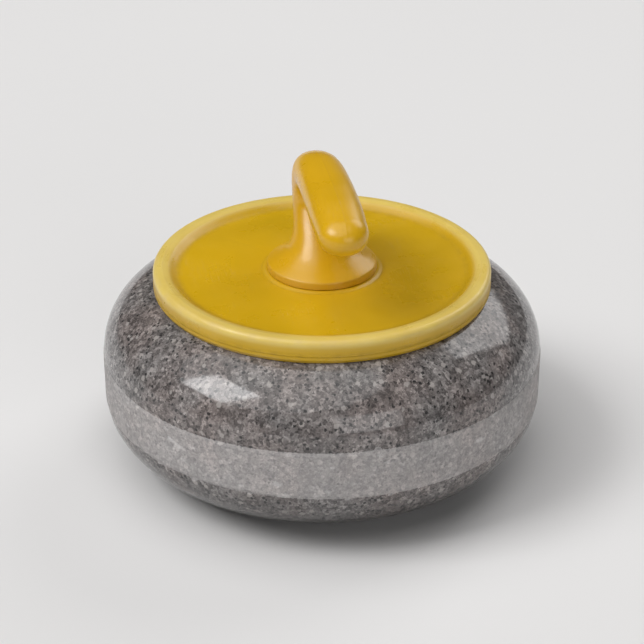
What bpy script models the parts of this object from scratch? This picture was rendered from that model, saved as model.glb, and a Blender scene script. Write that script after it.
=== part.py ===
"""Curling stone.

A round granite body stands on a narrow running ring, which is cut on a separate insert of harder granite
bonded into its underside. A bolt through the stone's centre holds the handle: a gooseneck grip with a threaded
insert in its foot, screwed from below to a wide coloured disc. Turning the handle unscrews it from the bolt.

Metres, +Z up. The stone stands on z = 0, its axis is Z, and the grip points along +X.
"""

import math

import bmesh
import bpy

MM = 0.001
GAP = 0.3 * MM  # room left between two pieces that rest on each other

# Granite body: the rules of play allow at most 914 mm round and at least 114 mm high.
STONE_RADIUS = 142 * MM
STONE_HEIGHT = 125 * MM
BAND_WIDTH = 30 * MM  # the rough striking band, half way up
BAND_STEP = 0.6 * MM  # how far it stands proud of the polished shoulders
UPPER_BULGE = 2.2  # superellipse powers of the two shoulders; 2 is a plain ellipse
LOWER_BULGE = 1.9
LAND_RADIUS = 69 * MM  # flat ring on top, left by the stone's second running face
CUP_RADIUS = 62 * MM
SEAT_RADIUS = 30 * MM  # ground flat in the top cup for the handle
SEAT_Z = STONE_HEIGHT - 6 * MM
BORE_RADIUS = 8 * MM
SPIGOT_WELL_CLEARANCE = 0.8 * MM  # room round the threaded insert's spigot
SPIGOT_WELL_DEPTH = 8 * MM  # below the seat, a little deeper than the spigot reaches

# Running insert
RING_OUTER_RADIUS = 68.5 * MM  # the running ring is 6.5 mm wide on a mean diameter of 130.5 mm
RING_INNER_RADIUS = 62 * MM
RING_EDGE = 0.6 * MM  # height of the rounded edges on both sides of the ring
INSERT_RADIUS = 76 * MM
INSERT_TOP_Z = 23.7 * MM
RUNNING_CUP_DEPTH = 10 * MM
BOLT_WELL_RADIUS = 19 * MM
BOLT_SEAT_Z = 30 * MM

# Bolt, M12 x 110 with a hexagon head, and the washers under its head
BOLT_RADIUS = 5.9 * MM
BOLT_LENGTH = 110 * MM
BOLT_POINT = 1.2 * MM  # the chamfer on the bolt's end
BOLT_HEAD_HEIGHT = 7.5 * MM
BOLT_HEAD_FLATS = 18 * MM
THREAD_PITCH = 1.75 * MM
THREAD_DEPTH = 1.0 * MM
THREAD_FLANK = THREAD_DEPTH * math.tan(math.radians(30))
BOLT_THREAD_TURNS = 11
BOLT_CREST = THREAD_PITCH / 8
CUSHION_THICKNESS = 3 * MM
FLAT_WASHER_THICKNESS = 2.5 * MM
LOCK_WASHER_THICKNESS = 2.5 * MM
WASHER_RADIUS = 17 * MM

# Handle unit: slip washer, disc, seal, grip, threaded insert and screws
SLIP_WASHER_RADIUS = 29 * MM
SLIP_WASHER_THICKNESS = 1.5 * MM
SPIGOT_RADIUS = 9.2 * MM
SPIGOT_REACH = 5.7 * MM  # how far the threaded insert dips into the stone to centre the handle
INSERT_FLATS = 21 * MM
INSERT_HEX_HEIGHT = 16 * MM
INSERT_GROOVE = (10 * MM, 6 * MM)  # its two edges, below the top
INSERT_THREAD_TURNS = 9
INSERT_THREAD_CLEARANCE = 0.35 * MM  # between the bolt's crest and the bottom of the insert's groove
INSERT_CREST = 0.48 * MM  # leaves 0.15 mm beside each flank of the bolt's thread
DISC_RADIUS = 108 * MM
DISC_WALL = 3 * MM
DISC_HUB_RADIUS = 36.3 * MM
DISC_HUB_HEIGHT = 10.4 * MM
DISC_DISH = 0.8 * MM  # the dish lies this far below the hub's top
RIM_HEIGHT = 3.2 * MM  # the rolled rim stands this far above the hub's top
SEAL_RADII = (DISC_RADIUS - 7.5 * MM, DISC_RADIUS - 3 * MM)
SEAL_DEPTH = 6.3 * MM  # its top, below the rim's crest
RIB_COUNT = 8
RIB_THICKNESS = 2 * MM
RIB_CLEARANCE = 1.2 * MM  # between a rib's lower edge and the granite
SCREW_CIRCLE_RADIUS = 20 * MM
SCREW_COUNT = 4
SCREW_LENGTH = 14 * MM
SCREW_RADIUS = 1.9 * MM
SCREW_HEAD_RADIUS = 3.8 * MM
SCREW_HEAD_HEIGHT = 2.6 * MM
SCREW_WELL_DEPTH = 4 * MM

# Heights that follow from the stack, from the bolt's seat down and from the handle's seat up
CUSHION_Z = BOLT_SEAT_Z - GAP - CUSHION_THICKNESS
FLAT_WASHER_Z = CUSHION_Z - GAP - FLAT_WASHER_THICKNESS
LOCK_WASHER_Z = FLAT_WASHER_Z - GAP - LOCK_WASHER_THICKNESS
BOLT_Z = LOCK_WASHER_Z - GAP
BOLT_THREAD_Z = BOLT_Z + BOLT_LENGTH - BOLT_POINT - THREAD_PITCH * (BOLT_THREAD_TURNS + 1.2)
SLIP_WASHER_Z = SEAT_Z + GAP
DISC_Z = SLIP_WASHER_Z + SLIP_WASHER_THICKNESS + GAP
HUB_TOP_Z = DISC_Z + DISC_HUB_HEIGHT
RIM_CREST_Z = HUB_TOP_Z + RIM_HEIGHT
FOOT_Z = HUB_TOP_Z + GAP
SPIGOT_Z = SEAT_Z - SPIGOT_REACH
BAND_LOW_Z = (STONE_HEIGHT - BAND_WIDTH) / 2
BAND_HIGH_Z = (STONE_HEIGHT + BAND_WIDTH) / 2
SHOULDER_RADIUS = STONE_RADIUS - BAND_STEP

# Steps round a turned piece
BODY_STEPS = 48
SMALL_STEPS = 24
THREAD_STEPS = 18
GRIP_STEPS = 20

# The foot in millimetres, edge to neck: radius and height above its underside
FOOT_PROFILE = ((35.0, 0.0), (35.0, 3.6), (34.0, 5.2), (31.2, 6.6), (26.6, 9.2))

# Side outline of the grip in millimetres, neck to tip: (x, z) on the finger side, (x, z) on the palm side, and
# half the width across. Heights count from the foot's underside.
GRIP_STATIONS = (
    (21.0, 13.2, -23.6, 12.6, 21.4),
    (14.6, 19.4, -25.2, 18.0, 18.0),
    (7.4, 26.0, -29.4, 25.4, 16.2),
    (0.0, 32.4, -35.0, 33.4, 15.4),
    (-5.4, 38.0, -40.2, 43.4, 15.0),
    (-6.4, 43.0, -41.4, 54.6, 15.0),
    (-2.0, 46.8, -34.6, 64.6, 15.2),
    (6.6, 48.6, -19.6, 70.6, 15.6),
    (17.6, 48.4, 1.4, 72.8, 15.9),
    (33.4, 47.2, 27.4, 72.7, 16.2),
    (53.0, 45.2, 51.6, 70.6, 16.2),
    (70.2, 43.6, 72.4, 67.0, 15.4),
)
NOSE_LENGTH = 16.0


# ---------------------------------------------------------------- mesh helpers


def clear_scene():
    for obj in list(bpy.data.objects):
        bpy.data.objects.remove(obj, do_unlink=True)


def make_material(name, colour, roughness, metallic=0.0):
    material = bpy.data.materials.new(name)
    material.use_nodes = True
    shader = material.node_tree.nodes["Principled BSDF"]
    shader.inputs["Base Color"].default_value = (*colour, 1.0)
    shader.inputs["Roughness"].default_value = roughness
    shader.inputs["Metallic"].default_value = metallic
    return material


def add_object(name, bm, material, z=0.0):
    """Turns a bmesh into an object that stands at height z on the stone's axis."""
    bmesh.ops.recalc_face_normals(bm, faces=bm.faces)
    mesh = bpy.data.meshes.new(name)
    bm.to_mesh(mesh)
    bm.free()
    mesh.materials.append(material)
    mesh.shade_smooth()
    mesh.set_sharp_from_angle(angle=math.radians(35))
    obj = bpy.data.objects.new(name, mesh)
    obj.location.z = z
    bpy.context.scene.collection.objects.link(obj)
    return obj


def lathe(outline, steps):
    """Spins a closed outline of (radius, height) points about Z."""
    bm = bmesh.new()
    verts = [bm.verts.new((radius, 0.0, height)) for radius, height in outline]
    edges = [bm.edges.new(pair) for pair in zip(verts, verts[1:] + verts[:1])]
    bmesh.ops.spin(
        bm, geom=verts + edges, cent=(0, 0, 0), axis=(0, 0, 1), angle=math.tau, steps=steps
    )
    bmesh.ops.remove_doubles(bm, verts=bm.verts, dist=1e-6)
    return bm


def round_ring(bm, radius, height, steps, centre=(0.0, 0.0)):
    return shaped_ring(bm, lambda angle: radius, height, steps, centre)


def shaped_ring(bm, radius_at, height, steps, centre=(0.0, 0.0)):
    """A level ring of vertices whose radius is a function of the angle."""
    ring = []
    for i in range(steps):
        angle = math.tau * i / steps
        radius = radius_at(angle)
        x = centre[0] + radius * math.cos(angle)
        y = centre[1] + radius * math.sin(angle)
        ring.append(bm.verts.new((x, y, height)))
    return ring


def hexagon(flats):
    """Radius of a hexagon, with a corner at angle 0, as a function of the angle."""
    sector = math.radians(60)
    return lambda angle: flats / 2 / math.cos(angle % sector - sector / 2)


def join_rings(bm, rings):
    """Faces between each ring and the next."""
    for low, high in zip(rings, rings[1:]):
        count = len(low)
        for i in range(count):
            k = (i + 1) % count
            bm.faces.new((low[i], low[k], high[k], high[i]))


def close_ring(bm, ring):
    bm.faces.new(ring)


def thread(bm, low_ring, high_ring, base_radius, crest_radius, crest_width, start_z, turns):
    """A helical ridge between two rings of the base radius. It stands out when the crest radius is larger, and
    in when it is smaller. Its rows climb one pitch a turn, so each row's end meets the row four further on."""
    count = len(low_ring)
    flank = THREAD_FLANK
    offsets = (0.0, flank, flank + crest_width, 2 * flank + crest_width)
    radii = (base_radius, crest_radius, crest_radius, base_radius)
    last = 4 * turns
    rows = []
    for j in range(last + 1):
        turn, part = divmod(j, 4)
        row = []
        for i in range(count):
            angle = math.tau * i / count
            height = start_z + THREAD_PITCH * (turn + i / count) + offsets[part]
            x = radii[part] * math.cos(angle)
            y = radii[part] * math.sin(angle)
            row.append(bm.verts.new((x, y, height)))
        rows.append(row)
    for j in range(last):
        for i in range(count - 1):
            bm.faces.new((rows[j][i], rows[j][i + 1], rows[j + 1][i + 1], rows[j + 1][i]))
    for j in range(last - 4):
        bm.faces.new((rows[j][-1], rows[j + 4][0], rows[j + 5][0], rows[j + 1][-1]))
    first, top = rows[0], rows[last]
    for i in range(count - 1):
        bm.faces.new((low_ring[i], low_ring[i + 1], first[i + 1], first[i]))
        bm.faces.new((top[i], top[i + 1], high_ring[i + 1], high_ring[i]))
    # Where the ridge begins and ends it is cut off square, and the base surface closes up round the cut.
    bm.faces.new([rows[j][0] for j in range(4)])
    bm.faces.new((low_ring[-1], low_ring[0], rows[0][0], rows[3][0], rows[4][0], first[-1]))
    bm.faces.new([rows[last - 4 + j][-1] for j in range(4)])
    bm.faces.new(
        (rows[last - 4][-1], top[0], high_ring[0], high_ring[-1], top[-1], rows[last - 1][-1])
    )


def make_cutter(name, bm):
    cutter = add_object(name, bm, None)
    cutter.hide_render = True
    cutter.display_type = "WIRE"
    return cutter


def add_boolean(obj, other, operation):
    modifier = obj.modifiers.new(other.name, "BOOLEAN")
    modifier.operation = operation
    modifier.object = other
    modifier.solver = "EXACT"


def add_triangulate(obj):
    """Splits the flat, many-cornered faces that Booleans leave by their shape alone, so each run splits them
    alike."""
    modifier = obj.modifiers.new("Triangulate", "TRIANGULATE")
    modifier.quad_method = "SHORTEST_DIAGONAL"
    modifier.ngon_method = "BEAUTY"


def cylinder(radius, low, high, steps, centre=(0.0, 0.0)):
    bm = bmesh.new()
    rings = [round_ring(bm, radius, z, steps, centre) for z in (low, high)]
    join_rings(bm, rings)
    close_ring(bm, rings[0])
    close_ring(bm, rings[-1])
    return bm


# ---------------------------------------------------------------- outlines


def superellipse_drop(radius, inner, outer, power):
    """How far a quarter superellipse has fallen at a radius: 0 at its inner end, 1 at its outer end."""
    share = (radius - inner) / (outer - inner)
    return 1 - (1 - share**power) ** (1 / power)


def upper_shoulder_z(radius):
    fall = STONE_HEIGHT - BAND_HIGH_Z
    drop = superellipse_drop(radius, LAND_RADIUS, SHOULDER_RADIUS, UPPER_BULGE)
    return STONE_HEIGHT - fall * drop


def lower_shoulder_z(radius):
    inner = RING_OUTER_RADIUS + RING_EDGE
    rise = BAND_LOW_Z - RING_EDGE
    return RING_EDGE + rise * superellipse_drop(radius, inner, SHOULDER_RADIUS, LOWER_BULGE)


def shoulder_outline(start, height_at, inner, power, count):
    """Points along a shoulder from the start radius out to the band, closer together where it turns steep."""
    span = SHOULDER_RADIUS - inner
    first = math.asin(((start - inner) / span) ** (power / 2))
    outline = []
    for i in range(count):
        angle = first + (math.pi / 2 - first) * i / (count - 1)
        radius = min(inner + span * math.sin(angle) ** (2 / power), SHOULDER_RADIUS)
        outline.append((radius, height_at(radius)))
    return outline


def top_cup_z(radius):
    """The cup in the top face: it falls from its edge to the flat seat as a parabola."""
    share = (radius - SEAT_RADIUS) / (CUP_RADIUS - SEAT_RADIUS)
    return SEAT_Z + (STONE_HEIGHT - SEAT_Z) * share**2


def running_cup_z(radius):
    """The hollow inside the running ring, highest in the middle."""
    share = radius / (RING_INNER_RADIUS - RING_EDGE)
    return RING_EDGE + (RUNNING_CUP_DEPTH - RING_EDGE) * (1 - share**2)


def evenly(first, last, count):
    return [first + (last - first) * i / (count - 1) for i in range(count)]


# ---------------------------------------------------------------- stone and bolt


def make_granite_body(material):
    pocket_radius = INSERT_RADIUS + GAP
    well_radius = BOLT_WELL_RADIUS + GAP
    spigot_well_radius = SPIGOT_RADIUS + SPIGOT_WELL_CLEARANCE
    spigot_well_z = SEAT_Z - SPIGOT_WELL_DEPTH
    inner = RING_OUTER_RADIUS + RING_EDGE
    lower = shoulder_outline(pocket_radius, lower_shoulder_z, inner, LOWER_BULGE, 11)
    upper = shoulder_outline(LAND_RADIUS, upper_shoulder_z, LAND_RADIUS, UPPER_BULGE, 11)
    cup = [(radius, top_cup_z(radius)) for radius in evenly(CUP_RADIUS, SEAT_RADIUS, 6)]
    outline = [
        (BORE_RADIUS, BOLT_SEAT_Z),
        (well_radius, BOLT_SEAT_Z),
        (well_radius, INSERT_TOP_Z + GAP),
        (pocket_radius, INSERT_TOP_Z + GAP),
        *lower,
        (STONE_RADIUS, BAND_LOW_Z + BAND_STEP),
        (STONE_RADIUS, BAND_HIGH_Z - BAND_STEP),
        *reversed(upper),
        *cup,
        (spigot_well_radius, SEAT_Z),
        (spigot_well_radius, spigot_well_z),
        (BORE_RADIUS, spigot_well_z),
    ]
    return add_object("granite_body", lathe(outline, BODY_STEPS), material)


def make_running_insert(material):
    outer = [(r, lower_shoulder_z(r)) for r in evenly(RING_OUTER_RADIUS + RING_EDGE, INSERT_RADIUS, 4)]
    cup = [(r, running_cup_z(r)) for r in evenly(BOLT_WELL_RADIUS + MM, RING_INNER_RADIUS - RING_EDGE, 8)]
    outline = [
        (BOLT_WELL_RADIUS, INSERT_TOP_Z),
        (BOLT_WELL_RADIUS, running_cup_z(BOLT_WELL_RADIUS) + MM),
        *cup,
        (RING_INNER_RADIUS, 0.0),
        (RING_OUTER_RADIUS, 0.0),
        *outer,
        (INSERT_RADIUS, INSERT_TOP_Z),
    ]
    return add_object("running_insert", lathe(outline, BODY_STEPS), material)


def make_bolt(material):
    """The origin is under the head, which hangs below it."""
    bm = bmesh.new()
    hex_radius = hexagon(BOLT_HEAD_FLATS)
    chamfer = 0.96 * BOLT_HEAD_FLATS / 2
    root_radius = BOLT_RADIUS - THREAD_DEPTH
    thread_z = BOLT_THREAD_Z - BOLT_Z
    steps = THREAD_STEPS
    head = [
        round_ring(bm, chamfer, -BOLT_HEAD_HEIGHT, steps),
        shaped_ring(bm, hex_radius, -BOLT_HEAD_HEIGHT + MM, steps),
        shaped_ring(bm, hex_radius, 0.0, steps),
        round_ring(bm, BOLT_RADIUS, 0.0, steps),
        round_ring(bm, BOLT_RADIUS, thread_z - 0.6 * MM, steps),
        round_ring(bm, root_radius, thread_z - 0.1 * MM, steps),
    ]
    point = [
        round_ring(bm, root_radius, BOLT_LENGTH - BOLT_POINT, steps),
        round_ring(bm, root_radius - BOLT_POINT, BOLT_LENGTH, steps),
    ]
    join_rings(bm, head)
    join_rings(bm, point)
    thread(bm, head[-1], point[0], root_radius, BOLT_RADIUS, BOLT_CREST, thread_z, BOLT_THREAD_TURNS)
    close_ring(bm, head[0])
    close_ring(bm, point[-1])
    add_object("handle_bolt", bm, material, BOLT_Z)


def make_washer(name, inner, outer, thickness, chamfer, z, material):
    outline = [
        (inner, chamfer),
        (inner + chamfer, 0.0),
        (outer - chamfer, 0.0),
        (outer, chamfer),
        (outer, thickness - chamfer),
        (outer - chamfer, thickness),
        (inner + chamfer, thickness),
        (inner, thickness - chamfer),
    ]
    return add_object(name, lathe(outline, SMALL_STEPS), material, z)


def make_lock_washer(material):
    """A split spring washer, pressed flat. The split leans, so its ends meet on a slope."""
    inner, outer = BOLT_RADIUS + 0.4 * MM, 10.5 * MM
    sections = 25
    half_gap, lean = math.radians(4), math.radians(7)
    bm = bmesh.new()
    rings = []
    for angle in evenly(half_gap, math.tau - half_gap, sections):
        corners = ((inner, 0, -1), (outer, 0, -1), (outer, 1, 1), (inner, 1, 1))
        ring = []
        for radius, level, side in corners:
            turned = angle + side * lean
            height = level * LOCK_WASHER_THICKNESS
            ring.append(bm.verts.new((radius * math.cos(turned), radius * math.sin(turned), height)))
        rings.append(ring)
    join_rings(bm, rings)
    close_ring(bm, rings[0])
    close_ring(bm, rings[-1])
    return add_object("lock_washer", bm, material, LOCK_WASHER_Z)


# ---------------------------------------------------------------- handle unit


def make_threaded_insert(material):
    """A blind brass insert: a round spigot below, and a hexagon above with a groove that the foot grips."""
    bm = bmesh.new()
    steps = THREAD_STEPS
    top = FOOT_Z + INSERT_HEX_HEIGHT - SPIGOT_Z
    hex_z = FOOT_Z + GAP - SPIGOT_Z
    groove_low, groove_high = top - INSERT_GROOVE[0], top - INSERT_GROOVE[1]
    hex_radius = hexagon(INSERT_FLATS)
    root_radius = BOLT_RADIUS + INSERT_THREAD_CLEARANCE
    crest_radius = root_radius - THREAD_DEPTH
    # The two ridges' middles lie half a pitch apart at every angle.
    half_difference = (BOLT_CREST - INSERT_CREST) / 2
    shift = BOLT_THREAD_Z + half_difference + THREAD_PITCH / 2 - SPIGOT_Z
    thread_z = THREAD_PITCH + shift % THREAD_PITCH
    relief_z = thread_z + THREAD_PITCH * (INSERT_THREAD_TURNS + 1.2)
    outside = [
        round_ring(bm, SPIGOT_RADIUS - 0.7 * MM, 0.0, steps),
        round_ring(bm, SPIGOT_RADIUS, 0.7 * MM, steps),
        round_ring(bm, SPIGOT_RADIUS, hex_z, steps),
        shaped_ring(bm, hex_radius, hex_z, steps),
        shaped_ring(bm, hex_radius, groove_low, steps),
        round_ring(bm, SPIGOT_RADIUS, groove_low, steps),
        round_ring(bm, SPIGOT_RADIUS, groove_high, steps),
        shaped_ring(bm, hex_radius, groove_high, steps),
        shaped_ring(bm, hex_radius, top, steps),
    ]
    mouth = round_ring(bm, root_radius, 0.0, steps)
    relief = round_ring(bm, root_radius, relief_z, steps)
    blind_end = round_ring(bm, crest_radius - MM, relief_z + 1.5 * MM, steps)
    join_rings(bm, [mouth, outside[0]])
    join_rings(bm, outside)
    join_rings(bm, [relief, blind_end])
    thread(bm, mouth, relief, root_radius, crest_radius, INSERT_CREST, thread_z, INSERT_THREAD_TURNS)
    close_ring(bm, outside[-1])
    close_ring(bm, blind_end)
    return add_object("threaded_insert", bm, material, SPIGOT_Z)


def disc_outline():
    """The disc's section: a solid hub, a thin dish, and a rolled rim, open below, that holds the seal."""
    hub, hole, edge = DISC_HUB_RADIUS, SPIGOT_RADIUS + 0.6 * MM, DISC_RADIUS
    dish_z = HUB_TOP_Z - DISC_DISH
    web_z = dish_z - DISC_WALL
    lip_inner, lip_outer, skirt_inner = edge - 10 * MM, edge - 7.8 * MM, edge - 2.6 * MM
    lift = 1.5 * GAP
    return [
        (hole, DISC_Z),
        (hub - 4.8 * MM, DISC_Z),
        (hub - 3.8 * MM, web_z),
        (edge - 13 * MM, web_z),
        (lip_inner, web_z - 0.8 * MM),
        (lip_inner, upper_shoulder_z(lip_inner) + lift),
        (lip_outer, upper_shoulder_z(lip_outer) + lift + 0.5 * MM),
        (lip_outer, RIM_CREST_Z - 4.8 * MM),
        (edge - 6.4 * MM, RIM_CREST_Z - 3.2 * MM),
        (edge - 5 * MM, RIM_CREST_Z - 3.4 * MM),
        (skirt_inner - 0.4 * MM, RIM_CREST_Z - 5.6 * MM),
        (skirt_inner, upper_shoulder_z(skirt_inner) + lift),
        (edge, upper_shoulder_z(edge) + lift),
        (edge, RIM_CREST_Z - 5.5 * MM),
        (edge - 1.2 * MM, RIM_CREST_Z - 2.2 * MM),
        (edge - 3.6 * MM, RIM_CREST_Z - 0.5 * MM),
        (edge - 6.8 * MM, RIM_CREST_Z),
        (edge - 10 * MM, RIM_CREST_Z - 0.8 * MM),
        (edge - 13.2 * MM, RIM_CREST_Z - 2.5 * MM),
        (edge - 17.7 * MM, dish_z + 0.4 * MM),
        (edge - 26 * MM, dish_z),
        (hub + 1.2 * MM, dish_z),
        (hub, HUB_TOP_Z),
        (hole, HUB_TOP_Z),
    ]


def screw_places():
    for i in range(SCREW_COUNT):
        angle = math.tau * (i + 0.5) / SCREW_COUNT
        yield SCREW_CIRCLE_RADIUS * math.cos(angle), SCREW_CIRCLE_RADIUS * math.sin(angle)


def granite_top_z(radius):
    """Height of the granite's top surface: seat, cup, land and shoulder."""
    if radius < SEAT_RADIUS:
        return SEAT_Z
    if radius < CUP_RADIUS:
        return top_cup_z(radius)
    if radius < LAND_RADIUS:
        return STONE_HEIGHT
    return upper_shoulder_z(radius)


def make_rib(index):
    """One radial rib under the dish, from inside the hub to inside the rim's inner wall. Its lower edge follows
    the granite."""
    start, end = DISC_HUB_RADIUS - 8 * MM, DISC_RADIUS - 8.9 * MM
    high = HUB_TOP_Z - DISC_DISH - MM
    outline = [(start, high), (end, high)]
    for reach in (end, 84 * MM, LAND_RADIUS, CUP_RADIUS, 50 * MM, 40 * MM, start):
        outline.append((reach, max(granite_top_z(reach) + RIB_CLEARANCE, DISC_Z + MM)))
    angle = math.tau * index / RIB_COUNT
    bm = bmesh.new()
    rings = []
    for side in (-RIB_THICKNESS / 2, RIB_THICKNESS / 2):
        ring = []
        for reach, z in outline:
            x = reach * math.cos(angle) - side * math.sin(angle)
            y = reach * math.sin(angle) + side * math.cos(angle)
            ring.append(bm.verts.new((x, y, z)))
        rings.append(ring)
    join_rings(bm, rings)
    close_ring(bm, rings[0])
    close_ring(bm, rings[1])
    return make_cutter(f"rib_{index}", bm)


def make_disc(material):
    disc = add_object("colour_disc", lathe(disc_outline(), BODY_STEPS), material)
    for i in range(RIB_COUNT):
        add_boolean(disc, make_rib(i), "UNION")
    for i, centre in enumerate(screw_places()):
        hole = cylinder(SCREW_RADIUS + GAP, DISC_Z - MM, HUB_TOP_Z + MM, 12, centre)
        add_boolean(disc, make_cutter(f"screw_hole_{i}", hole), "DIFFERENCE")
        well = cylinder(SCREW_HEAD_RADIUS + GAP, DISC_Z - MM, DISC_Z + SCREW_WELL_DEPTH, 12, centre)
        add_boolean(disc, make_cutter(f"screw_well_{i}", well), "DIFFERENCE")
    add_triangulate(disc)
    return disc


def make_seal(material):
    inner, outer = SEAL_RADII
    outline = [
        (inner, upper_shoulder_z(inner) + GAP),
        (outer, upper_shoulder_z(outer) + GAP),
        (outer, RIM_CREST_Z - SEAL_DEPTH),
        (inner, RIM_CREST_Z - SEAL_DEPTH),
    ]
    return add_object("seal_ring", lathe(outline, BODY_STEPS), material)


def catmull_rom(a, b, c, d, t):
    """Value a share t of the way from b to c, on the smooth curve through all four."""
    linear, square, cube = c - a, 2 * a - 5 * b + 4 * c - d, 3 * b - a - 3 * c + d
    return b + (linear * t + square * t**2 + cube * t**3) / 2


def smooth_between(stations, substeps):
    """A smooth curve through every station, each a tuple of numbers."""
    padded = [stations[0], *stations, stations[-1]]
    curve = []
    for before, here, there, after in zip(padded, padded[1:], padded[2:], padded[3:]):
        for i in range(substeps):
            t = i / substeps
            curve.append(
                tuple(catmull_rom(*values, t) for values in zip(before, here, there, after))
            )
    curve.append(stations[-1])
    return curve


def grip_ring(bm, finger_x, finger_z, palm_x, palm_z, half_width):
    """An oval ring that stands on the line from the finger side to the palm side, in millimetres."""
    ring = []
    for i in range(GRIP_STEPS):
        angle = math.tau * i / GRIP_STEPS
        share = (1 - math.cos(angle)) / 2
        x = finger_x + (palm_x - finger_x) * share
        z = finger_z + (palm_z - finger_z) * share
        y = half_width * math.sin(angle)
        ring.append(bm.verts.new((x * MM, y * MM, z * MM)))
    return ring


def nose_stations(last):
    """Stations of the rounded tip, which is half an ellipsoid on the last station."""
    finger_x, finger_z, palm_x, palm_z, half_width = last
    height = math.hypot(palm_x - finger_x, palm_z - finger_z)
    forward = ((palm_z - finger_z) / height, (finger_x - palm_x) / height)
    centre = ((finger_x + palm_x) / 2, (finger_z + palm_z) / 2)
    stations = []
    for degrees in (24, 46, 66, 82):
        reach = NOSE_LENGTH * math.sin(math.radians(degrees))
        size = math.cos(math.radians(degrees))
        x, z = centre[0] + reach * forward[0], centre[1] + reach * forward[1]
        half_x, half_z = size * (palm_x - finger_x) / 2, size * (palm_z - finger_z) / 2
        stations.append((x - half_x, z - half_z, x + half_x, z + half_z, size * half_width))
    return stations


def make_handle(material):
    """The gooseneck grip and its foot, in one moulding. The origin is under the foot, on the stone's axis."""
    foot = [(radius, height, -radius, height, radius) for radius, height in FOOT_PROFILE]
    neck_and_grip = smooth_between(GRIP_STATIONS, 2)
    bm = bmesh.new()
    stations = foot + neck_and_grip + nose_stations(GRIP_STATIONS[-1])
    rings = [grip_ring(bm, *station) for station in stations]
    join_rings(bm, rings)
    close_ring(bm, rings[0])
    close_ring(bm, rings[-1])
    handle = add_object("handle", bm, material, FOOT_Z)
    add_boolean(handle, make_insert_pocket(), "DIFFERENCE")
    for i, centre in enumerate(screw_places()):
        pilot_z = DISC_Z + SCREW_WELL_DEPTH + SCREW_LENGTH
        pilot = cylinder(SCREW_RADIUS + GAP, FOOT_Z - MM, pilot_z, 12, centre)
        add_boolean(handle, make_cutter(f"pilot_{i}", pilot), "DIFFERENCE")
    add_triangulate(handle)
    return handle


def make_insert_pocket():
    """The room that the threaded insert takes up in the foot, with its groove."""
    bm = bmesh.new()
    top = FOOT_Z + INSERT_HEX_HEIGHT
    groove_low, groove_high = top - INSERT_GROOVE[0], top - INSERT_GROOVE[1]
    hex_radius = hexagon(INSERT_FLATS + 2 * GAP)
    rings = [
        shaped_ring(bm, hex_radius, FOOT_Z - MM, THREAD_STEPS),
        shaped_ring(bm, hex_radius, groove_low + GAP, THREAD_STEPS),
        round_ring(bm, SPIGOT_RADIUS + GAP, groove_low + GAP, THREAD_STEPS),
        round_ring(bm, SPIGOT_RADIUS + GAP, groove_high - GAP, THREAD_STEPS),
        shaped_ring(bm, hex_radius, groove_high - GAP, THREAD_STEPS),
        shaped_ring(bm, hex_radius, top + GAP, THREAD_STEPS),
    ]
    join_rings(bm, rings)
    close_ring(bm, rings[0])
    close_ring(bm, rings[-1])
    return make_cutter("insert_pocket", bm)


def make_screw(index, centre, material):
    """A pan-head screw with a hexagon socket, standing head down. The origin is under its head."""
    bm = bmesh.new()
    steps = 12
    socket = hexagon(2.6 * MM)
    rings = [
        shaped_ring(bm, socket, -SCREW_HEAD_HEIGHT + 1.5 * MM, steps),
        shaped_ring(bm, socket, -SCREW_HEAD_HEIGHT, steps),
        round_ring(bm, SCREW_HEAD_RADIUS - 0.9 * MM, -SCREW_HEAD_HEIGHT, steps),
        round_ring(bm, SCREW_HEAD_RADIUS, -SCREW_HEAD_HEIGHT + 1.2 * MM, steps),
        round_ring(bm, SCREW_HEAD_RADIUS, 0.0, steps),
        round_ring(bm, SCREW_RADIUS, 0.0, steps),
        round_ring(bm, SCREW_RADIUS, SCREW_LENGTH - 2.5 * MM, steps),
        round_ring(bm, 0.4 * MM, SCREW_LENGTH, steps),
    ]
    join_rings(bm, rings)
    close_ring(bm, rings[0])
    close_ring(bm, rings[-1])
    screw = add_object(f"disc_screw_{index}", bm, material, DISC_Z + SCREW_WELL_DEPTH - GAP)
    screw.location.x, screw.location.y = centre
    return screw


def make_handle_axis(*pieces):
    """The empty on the bolt's axis that the handle unit turns and rises with."""
    axis = bpy.data.objects.new("handle_axis", None)
    axis.location.z = FOOT_Z
    bpy.context.scene.collection.objects.link(axis)
    bpy.context.view_layer.update()
    for piece in pieces:
        piece.parent = axis
        piece.matrix_parent_inverse = axis.matrix_world.inverted()


def main():
    clear_scene()
    granite = make_material("common_green_granite", (0.19, 0.185, 0.18), 0.25)
    hone = make_material("blue_hone_granite", (0.13, 0.15, 0.17), 0.3)
    steel = make_material("stainless_steel", (0.6, 0.6, 0.6), 0.35, 1.0)
    brass = make_material("brass", (0.72, 0.53, 0.24), 0.35, 1.0)
    yellow = make_material("yellow_plastic", (0.78, 0.53, 0.03), 0.35)
    rubber = make_material("black_rubber", (0.02, 0.02, 0.02), 0.8)
    nylon = make_material("white_nylon", (0.75, 0.74, 0.7), 0.5)

    make_granite_body(granite)
    make_running_insert(hone)
    make_bolt(steel)
    make_lock_washer(steel)
    hole = BOLT_RADIUS + 0.6 * MM
    make_washer("flat_washer", hole, WASHER_RADIUS, FLAT_WASHER_THICKNESS, 0.3 * MM, FLAT_WASHER_Z, steel)
    make_washer("cushion_washer", hole, WASHER_RADIUS, CUSHION_THICKNESS, 0.5 * MM, CUSHION_Z, rubber)

    slip_hole = SPIGOT_RADIUS + 0.6 * MM
    make_washer(
        "slip_washer", slip_hole, SLIP_WASHER_RADIUS, SLIP_WASHER_THICKNESS, 0.2 * MM, SLIP_WASHER_Z, nylon
    )
    screws = [make_screw(i + 1, centre, steel) for i, centre in enumerate(screw_places())]
    make_handle_axis(
        make_handle(yellow), make_disc(yellow), make_seal(rubber), make_threaded_insert(brass), *screws
    )


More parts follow.
